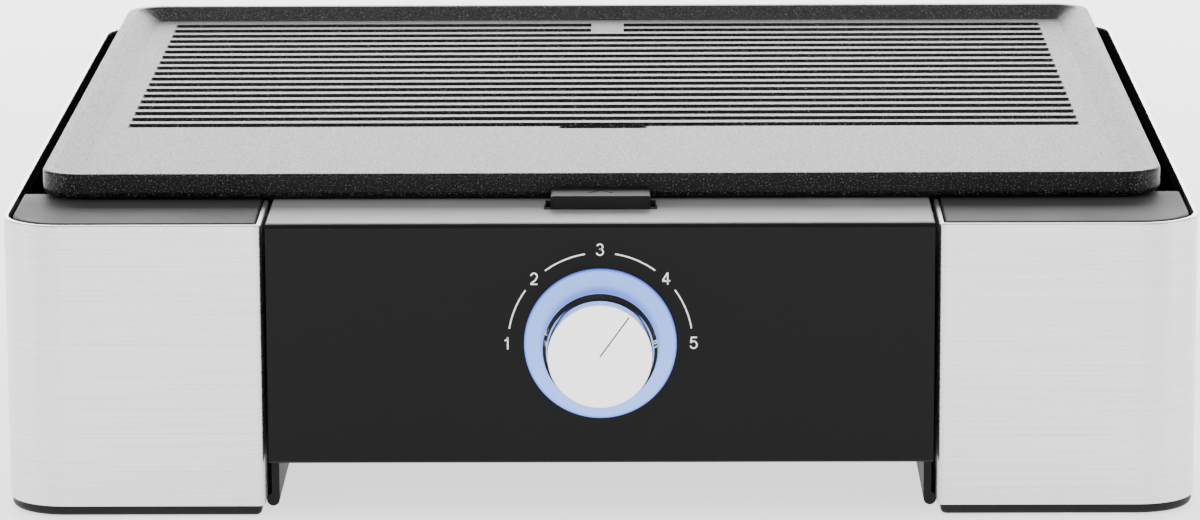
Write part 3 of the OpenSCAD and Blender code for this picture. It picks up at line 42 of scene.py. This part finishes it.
# ---------------------------------------------------------------- materials
class Shader:
    """A material with small helpers for procedural detail."""

    def __init__(self, name, base, metallic=0.0, rough=0.5, spec=0.5):
        self.mat = bpy.data.materials.new(name)
        self.mat.use_nodes = True
        self.tree = self.mat.node_tree
        self.bsdf = self.tree.nodes["Principled BSDF"]
        self.set("Base Color", (*base, 1.0))
        self.set("Metallic", metallic)
        self.set("Roughness", rough)
        self.set("Specular IOR Level", spec)
        self.set("IOR", 1.5)
        self.base = base
        self.coord = self.node("ShaderNodeTexCoord").outputs["Object"]
        self.normal = None

    def set(self, socket, value):
        self.bsdf.inputs[socket].default_value = value

    def node(self, kind, **props):
        n = self.tree.nodes.new(kind)
        for k, v in props.items():
            setattr(n, k, v)
        return n

    def link(self, a, b):
        self.tree.links.new(a, b)

    def scaled(self, scale):
        """The object's own coordinates; scale is one number or one for each axis, per metre."""
        m = self.node("ShaderNodeMapping")
        m.inputs["Scale"].default_value = scale if hasattr(scale, "__len__") else (scale,) * 3
        self.link(self.coord, m.inputs["Vector"])
        return m.outputs["Vector"]

    def noise(self, scale, detail=3.0, rough=0.55):
        n = self.node("ShaderNodeTexNoise")
        n.inputs["Scale"].default_value = 1.0
        n.inputs["Detail"].default_value = detail
        n.inputs["Roughness"].default_value = rough
        self.link(self.scaled(scale), n.inputs["Vector"])
        return n.outputs["Fac"]

    def cells(self, scale):
        v = self.node("ShaderNodeTexVoronoi", feature="F1")
        v.inputs["Scale"].default_value = 1.0
        self.link(self.scaled(scale), v.inputs["Vector"])
        return v.outputs["Distance"]

    def ramp(self, fac, lo, hi, a=0.35, b=0.65):
        """Maps fac from a..b to lo..hi; lo and hi are numbers or colours."""
        if hasattr(lo, "__len__"):
            return self.colours(fac, [(a, lo), (b, hi)])
        r = self.node("ShaderNodeMapRange")
        for k, v in (("From Min", a), ("From Max", b), ("To Min", lo), ("To Max", hi)):
            r.inputs[k].default_value = v
        self.link(fac, r.inputs["Value"])
        return r.outputs["Result"]

    def colours(self, fac, stops):
        """A colour ramp from (position, colour) pairs in rising order."""
        c = self.node("ShaderNodeValToRGB")
        marks = c.color_ramp.elements
        marks[0].position, marks[0].color = stops[0][0], (*stops[0][1], 1)
        marks[1].position, marks[1].color = stops[-1][0], (*stops[-1][1], 1)
        for position, colour in stops[1:-1]:
            marks.new(position).color = (*colour, 1)
        self.link(fac, c.inputs["Fac"])
        return c.outputs["Color"]

    def tone(self, fac, spread, a=0.35, b=0.65):
        """Base colour varies by plus or minus spread, as a share of it."""
        lo = tuple(max(c * (1 - spread), 0) for c in self.base)
        hi = tuple(min(c * (1 + spread), 1) for c in self.base)
        self.link(self.ramp(fac, lo, hi, a, b), self.bsdf.inputs["Base Color"])
        return self

    def gloss(self, fac, lo, hi, a=0.35, b=0.65):
        """Roughness varies from lo to hi."""
        self.link(self.ramp(fac, lo, hi, a, b), self.bsdf.inputs["Roughness"])
        return self

    def bump(self, fac, distance, strength=1.0):
        """Adds relief; distance in metres."""
        n = self.node("ShaderNodeBump")
        n.inputs["Distance"].default_value = distance
        n.inputs["Strength"].default_value = strength
        self.link(fac, n.inputs["Height"])
        if self.normal:
            self.link(self.normal, n.inputs["Normal"])
        self.normal = n.outputs["Normal"]
        self.link(self.normal, self.bsdf.inputs["Normal"])
        return self

    def shine(self, strength):
        """Adds an even white light of its own."""
        self.set("Emission Color", (1, 1, 1, 1))
        self.set("Emission Strength", strength)
        return self


def brushed(name, base, rough, streak, spread):
    """Bare metal; streak is the noise's scale on each axis, low along the brushing."""
    s = Shader(name, base, metallic=1.0, rough=rough)
    fine = s.noise(streak, detail=4, rough=0.7)
    s.tone(fine, spread).gloss(fine, rough - 0.05, rough + 0.08).bump(fine, 0.00002, 0.35)
    return s


def moulded(name, base, rough, spec, grain=2600, depth=0.00002, spread=0.12):
    """Plastic, paint or rubber: a fine grain under soft patches of tone and gloss."""
    s = Shader(name, base, rough=rough, spec=spec)
    fine = s.noise(grain, detail=2)
    patch = s.noise(35, detail=2)
    s.tone(patch, spread, 0.3, 0.7).gloss(patch, rough - 0.04, rough + 0.05, 0.3, 0.7)
    s.bump(fine, depth, 0.5)
    return s


def nonstick():
    """Sprayed coating: near black, with pale flecks over small pits."""
    s = Shader("nonstick_coating", (0.006, 0.006, 0.0063), rough=0.36, spec=0.14)
    fleck = s.noise(1500, detail=2, rough=0.8)
    pit = s.noise(1300, detail=3, rough=0.7)
    blob = s.cells(900)
    ground, pale = (0.003, 0.003, 0.0032), (0.2, 0.2, 0.2)
    s.link(s.ramp(fleck, ground, pale, 0.58, 0.72), s.bsdf.inputs["Base Color"])
    s.gloss(blob, 0.28, 0.42, 0.2, 0.8).bump(pit, 0.00015, 0.5).bump(blob, 0.0001, 0.4)
    return s


# Colours of the light ring from its inner edge to its outer one, by share of the way; the deeper blue at
# the inner edge, beside the knob, is painted shade of the recess there
RING_INNER, RING_OUTER = 0.014, 0.028
RING_GLOW_AND_SHADE_COLOURS = [
    (0.0, (0.05, 0.10, 0.62)),
    (0.45, (0.16, 0.29, 0.92)),
    (0.57, (0.26, 0.42, 0.98)),
    (0.93, (0.22, 0.38, 0.95)),
    (1.0, (0.05, 0.10, 0.50)),
]


def glow():
    """Frosted ring lit from behind: paler on the outer band, deeper blue at its edges; the dark inner
    edge is painted shade of the recess beside the knob.
    """
    s = Shader("ring_glow", (0.2, 0.3, 0.95), rough=0.5, spec=0.2)
    place = s.node("ShaderNodeSeparateXYZ")
    s.link(s.coord, place.inputs["Vector"])
    above = s.node("ShaderNodeMath", operation="SUBTRACT")
    above.inputs[1].default_value = AXIS_Z
    s.link(place.outputs["Z"], above.inputs[0])
    flat = s.node("ShaderNodeCombineXYZ")
    s.link(place.outputs["X"], flat.inputs["X"])
    s.link(above.outputs["Value"], flat.inputs["Y"])
    radius = s.node("ShaderNodeVectorMath", operation="LENGTH")
    s.link(flat.outputs["Vector"], radius.inputs[0])
    share = s.ramp(radius.outputs["Value"], 0.0, 1.0, RING_INNER, RING_OUTER)
    # The same colours drive the glow, so the painted shade at the inner edge also dims the light there
    colour = s.colours(share, RING_GLOW_AND_SHADE_COLOURS)
    s.link(colour, s.bsdf.inputs["Base Color"])
    s.link(colour, s.bsdf.inputs["Emission Color"])
    s.set("Emission Strength", 0.8)
    s.bump(s.noise(900, detail=1), 0.00001, 0.3)
    return s


STEEL = brushed("casing_steel", (0.68, 0.68, 0.685), 0.3, streak=(9, 9, 1300), spread=0.09)
BLACK = moulded("black_moulding", (0.006, 0.006, 0.0065), 0.5, 0.15)
HOUSING = moulded("housing_black", (0.003, 0.003, 0.0033), 0.8, 0.0)
PANEL = moulded("panel_black", (0.004, 0.004, 0.0042), 0.38, 0.1, grain=3200, depth=0.00001, spread=0.08)
COVER = moulded("cover_black", (0.035, 0.035, 0.036), 0.6, 0.2, spread=0.06)
SHELF = moulded("shelf_grey", (0.22, 0.22, 0.222), 0.42, 0.5, spread=0.04)
LEVER = moulded("lever_black", (0.003, 0.003, 0.0032), 0.5, 0.2, spread=0.06)
RUBBER = moulded("foot_rubber", (0.012, 0.012, 0.012), 0.75, 0.3, grain=1500, depth=0.00005)
PLATE = nonstick()
PAN = brushed("pan_sheet", (0.66, 0.67, 0.68), 0.34, (160, 10, 160), 0.04)
OXIDE = Shader("heater_oxide", (0.060, 0.050, 0.046), metallic=0.6, rough=0.55)
OXIDE.tone(OXIDE.noise(260, 4), 0.35).bump(OXIDE.noise(2500, 2), 0.00002, 0.5)
ZINC = brushed("zinc_sheet", (0.55, 0.56, 0.57), 0.38, (60, 60, 500), 0.07)
CERAMIC = moulded("ceramic_cream", (0.62, 0.58, 0.50), 0.55, 0.4, grain=900, depth=0.00003, spread=0.05)
RESIN = moulded("resin_tan", (0.34, 0.24, 0.12), 0.4, 0.5)
BRASS = brushed("turned_brass", (0.74, 0.53, 0.22), 0.28, (900, 900, 900), 0.05)
CHROME = Shader("knob_chrome", (0.93, 0.93, 0.94), metallic=1.0, rough=0.06)
CHROME.gloss(CHROME.noise(60, 2), 0.035, 0.075).bump(CHROME.noise(500, 2), 0.000003, 0.3)
FACE_WITH_PAINTED_GLOW = Shader("knob_face_satin_painted_glow", (0.97, 0.97, 0.97), metallic=0.25, rough=0.25)
FACE_WITH_PAINTED_GLOW.tone(FACE_WITH_PAINTED_GLOW.noise(40, 2), 0.02).bump(FACE_WITH_PAINTED_GLOW.noise(2400, 2), 0.000004, 0.3)
# Painted light: the satin knob face gives off white light of its own, though it is no lamp
FACE_WITH_PAINTED_GLOW.shine(0.45)
POINTER = moulded("pointer_ink", (0.002, 0.002, 0.002), 0.7, 0.0)
RING = glow()
BOARD = moulded("board_green", (0.02, 0.14, 0.05), 0.35, 0.5)
CHIP = moulded("chip_white", (0.8, 0.82, 0.86), 0.3, 0.5)
CREAM = moulded("block_cream", (0.62, 0.58, 0.48), 0.45, 0.4, spread=0.05)
LEAD_BLACK = moulded("lead_black", (0.015, 0.015, 0.016), 0.5, 0.4)
LEAD_RED = moulded("lead_red", (0.30, 0.03, 0.02), 0.5, 0.4)
LEAD_BLUE = moulded("lead_blue", (0.03, 0.08, 0.32), 0.5, 0.4)
TRAY = brushed("tray_steel", (0.50, 0.51, 0.52), 0.3, (900, 10, 900), 0.05)
SCREW = brushed("screw_steel", (0.45, 0.45, 0.46), 0.3, (1200, 1200, 1200), 0.08)
PIN = moulded("pin_blackened", (0.003, 0.003, 0.003), 0.5, 0.05)
PRINT = Shader("dial_print", (0.97, 0.97, 0.97), rough=0.5, spec=0.3)
PRINT.tone(PRINT.noise(800, 2), 0.03)

# Which node wears which material
FINISH = {
    STEEL: ("steel_casing_left", "steel_casing_right"),
    BLACK: ("foot_trim_left", "foot_trim_right", "centre_chassis", "back_panel", "tray_handle",
            "power_inlet"),
    HOUSING: ("side_housing_left", "side_housing_right"),
    PANEL: ("front_panel",),
    COVER: ("pod_cover_left", "pod_cover_right"),
    SHELF: ("centre_shelf",),
    LEVER: ("release_lever",),
    RUBBER: ("rubber_feet",),
    PLATE: ("grill_plate",),
    PAN: ("heater_pan",),
    OXIDE: ("heater_tube",),
    ZINC: ("heater_brackets", "thermostat_bracket", "thermostat_shaft", "thermal_cutout",
           "lever_spring"),
    CERAMIC: ("heater_terminals", "plate_rests"),
    RESIN: ("thermostat",),
    BRASS: ("thermostat_nut", "inlet_pins"),
    CHROME: ("control_knob",),
    FACE_WITH_PAINTED_GLOW: ("knob_face",),
    POINTER: ("knob_pointer",),
    RING: ("light_ring",),
    BOARD: ("light_board",),
    CHIP: ("light_chips",),
    CREAM: ("terminal_block",),
    LEAD_BLACK: ("supply_leads",),
    LEAD_RED: ("heater_leads",),
    LEAD_BLUE: ("light_leads",),
    TRAY: ("drip_tray",),
    SCREW: ("foot_screws", "chassis_screws", "panel_screws", "inlet_screws"),
    PIN: ("lever_pin",),
}
for shader, names in FINISH.items():
    for name in names:
        obj = NODES[name]
        if not obj.material_slots:
            obj.data.materials.append(shader.mat)
        for slot in obj.material_slots:
            slot.link = "OBJECT"
            slot.material = shader.mat


# ---------------------------------------------------------------- dial print
PANEL_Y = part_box("front_panel")[0][1]
INK_T = 0.00006
ARC_R, ARC_W = 0.0338, 0.00052
DIGIT_R, DIGIT_W, DIGIT_H = 0.0342, 0.00052, 0.0051

# The four arcs between the digits, in degrees clockwise from the top
ARCS = [(-80.7, -54), (-36.5, -9.4), (9.4, 36.5), (54, 80.7)]

# Digit: its angle, and how much higher it stands than the circle
DIGITS = {1: (-90, 0), 2: (-45, 0), 3: (0, 0.0008), 4: (45, 0), 5: (90, 0)}


def dial_piece(name, outline, faces):
    """A printed mark: flat faces on the panel, with the ink's thickness towards the front."""
    mesh = bpy.data.meshes.new(name)
    n = len(outline)
    back = [(x, PANEL_Y, z) for x, z in outline]
    front = [(x, PANEL_Y - INK_T, z) for x, z in outline]
    edges = {(a, b) for f in faces for a, b in zip(f, f[1:] + f[:1])}
    rim = sorted((a, b) for a, b in edges if (b, a) not in edges)
    sides = [(a, b, b + n, a + n) for a, b in rim]
    backs = [tuple(reversed(f)) for f in faces]
    fronts = [tuple(i + n for i in f) for f in faces]
    mesh.from_pydata(back + front, [], backs + fronts + sides)
    mesh.validate()
    obj = bpy.data.objects.new(name, mesh)
    bpy.context.scene.collection.objects.link(obj)
    mesh.materials.append(PRINT.mat)
    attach(obj, "base")


def on_dial(angle, radius):
    """Place on the panel, by degrees clockwise from the top and metres from the axis."""
    a = math.radians(angle)
    return radius * math.sin(a), AXIS_Z + radius * math.cos(a)


def arc(name, start, end, steps=28):
    outline = []
    for i in range(steps + 1):
        angle = start + (end - start) * i / steps
        outline += [on_dial(angle, ARC_R - ARC_W / 2), on_dial(angle, ARC_R + ARC_W / 2)]
    dial_piece(name, outline, [(2 * i, 2 * i + 2, 2 * i + 3, 2 * i + 1) for i in range(steps)])


for i, (start, end) in enumerate(ARCS):
    arc(f"dial_arc_{i + 1}", start, end)


def bow(cx, cy, rx, ry, start, end, steps=14):
    """Points on an ellipse, angles in degrees, anticlockwise from +x."""
    turns = [math.radians(start + (end - start) * i / steps) for i in range(steps + 1)]
    return [(cx + rx * math.cos(t), cy + ry * math.sin(t)) for t in turns]


# Centre lines of the digits in a box 1 high, around its middle
STROKES = {
    1: [[(-0.19, 0.20), (-0.06, 0.28), (0.02, 0.36), (0.05, 0.45)], [(0.05, 0.5), (0.05, -0.5)]],
    2: [bow(0, 0.19, 0.25, 0.26, 172, -38)
        + [(0.1, -0.13), (-0.12, -0.28), (-0.24, -0.40), (-0.27, -0.45)],
        [(-0.3, -0.45), (0.27, -0.45)]],
    3: [bow(-0.01, 0.235, 0.225, 0.215, 165, -72) + [(-0.02, 0.04)],
        [(-0.06, 0.04), (0.03, 0.035)] + bow(-0.01, -0.2, 0.265, 0.245, 68, -168, 18)],
    4: [[(0.31, -0.2), (-0.28, -0.2), (-0.28, -0.14), (0.09, 0.44)], [(0.12, 0.5), (0.12, -0.5)]],
    5: [[(0.25, 0.45), (-0.17, 0.45), (-0.245, -0.01)],
        [(-0.245, -0.01)] + bow(-0.01, -0.155, 0.265, 0.29, 140, -162, 20)],
}


def ribbon(points, width):
    """Outline of a line of even width, two points for each of its own; corners keep the width."""
    outline = []
    last = len(points) - 1
    for i, here in enumerate(points):
        before, after = points[max(i - 1, 0)], points[min(i + 1, last)]
        along = (after - before).normalized()
        half = width / 2
        if 0 < i < last:
            turn = (here - before).normalized().dot((after - here).normalized())
            half /= max(math.sqrt((1 + turn) / 2), 0.6)
        across = Vector((-along.y, along.x)) * half
        outline += [tuple(here + across), tuple(here - across)]
    return outline


def digit(value, angle, up):
    middle = Vector(on_dial(angle, DIGIT_R)) + Vector((0, up))
    for k, line in enumerate(STROKES[value]):
        points = [middle + Vector(p) * (DIGIT_H - DIGIT_W) for p in line]
        faces = [(2 * i, 2 * i + 1, 2 * i + 3, 2 * i + 2) for i in range(len(points) - 1)]
        dial_piece(f"dial_digit_{value}_{k + 1}", ribbon(points, DIGIT_W), faces)


for value, (angle, up) in DIGITS.items():
    digit(value, angle, up)


# ---------------------------------------------------------------- camera
# Fitted to corners of the photograph: degrees and metres
CAM_YAW, CAM_PITCH, CAM_ROLL = 0.53, 12.09, -0.255
CAM_PLACE = (0.0185, -2.2059, 0.5252)


def camera():
    yaw, pitch, roll = (math.radians(v) for v in (CAM_YAW, CAM_PITCH, CAM_ROLL))
    ahead = Vector((-math.sin(yaw) * math.cos(pitch), math.cos(yaw) * math.cos(pitch),
                    -math.sin(pitch)))
    level = Vector((math.cos(yaw), math.sin(yaw), 0))
    above = level.cross(ahead)
    right = level * math.cos(roll) + above * math.sin(roll)
    up = above * math.cos(roll) - level * math.sin(roll)
    data = bpy.data.cameras.new("camera")
    data.lens = 168
    data.sensor_width = 36
    data.sensor_fit = "HORIZONTAL"
    cam = bpy.data.objects.new("camera", data)
    turn = Matrix((right, up, -ahead)).transposed().to_4x4()
    cam.matrix_world = Matrix.Translation(CAM_PLACE) @ turn
    bpy.context.scene.collection.objects.link(cam)
    bpy.context.scene.camera = cam


camera()


# ---------------------------------------------------------------- studio
# Softbox: place, the point it faces, its two sides and its power in watts
SOFTBOXES = {
    "back_softbox": ((0, 1.7, 0.75), (0, 0, 0.12), (3.4, 1.3), 98),
    "top_softbox": ((0, 0.1, 2.0), (0, 0, 0), (2.2, 1.6), 10),
    "left_softbox": ((-1.9, -0.7, 0.5), (0, 0, 0.06), (0.7, 1.0), 10),
    "right_softbox": ((1.9, -0.7, 0.5), (0, 0, 0.06), (0.7, 1.0), 10),
    "front_softbox": ((0, -2.6, 0.4), (0, 0, 0.06), (1.0, 0.7), 14),
}
for name, (place, aim, size, power) in SOFTBOXES.items():
    data = bpy.data.lights.new(name, "AREA")
    data.shape = "RECTANGLE"
    data.size, data.size_y = size
    data.energy = power
    box = bpy.data.objects.new(name, data)
    box.location = place
    box.rotation_euler = (Vector(aim) - Vector(place)).to_track_quat("-Z", "Y").to_euler()
    box.visible_camera = False
    bpy.context.scene.collection.objects.link(box)

world = bpy.data.worlds.new("studio")
bpy.context.scene.world = world
world.use_nodes = True
sky = world.node_tree.nodes["Background"]
sky.inputs["Color"].default_value = (1, 1, 1, 1)
sky.inputs["Strength"].default_value = 0.8

FLOOR_HALF = 14
corners = [(FLOOR_HALF * x, FLOOR_HALF * y, 0) for x, y in ((-1, -1), (1, -1), (1, 1), (-1, 1))]
floor_mesh = bpy.data.meshes.new("floor")
floor_mesh.from_pydata(corners, [], [(0, 1, 2, 3)])
floor = bpy.data.objects.new("floor", floor_mesh)
bpy.context.scene.collection.objects.link(floor)
FLOOR = Shader("floor_paper", (0.9, 0.9, 0.9), rough=0.9, spec=0.1)
FLOOR.tone(FLOOR.noise(3, 2), 0.01)
FLOOR.shine(1.5)
floor_mesh.materials.append(FLOOR.mat)
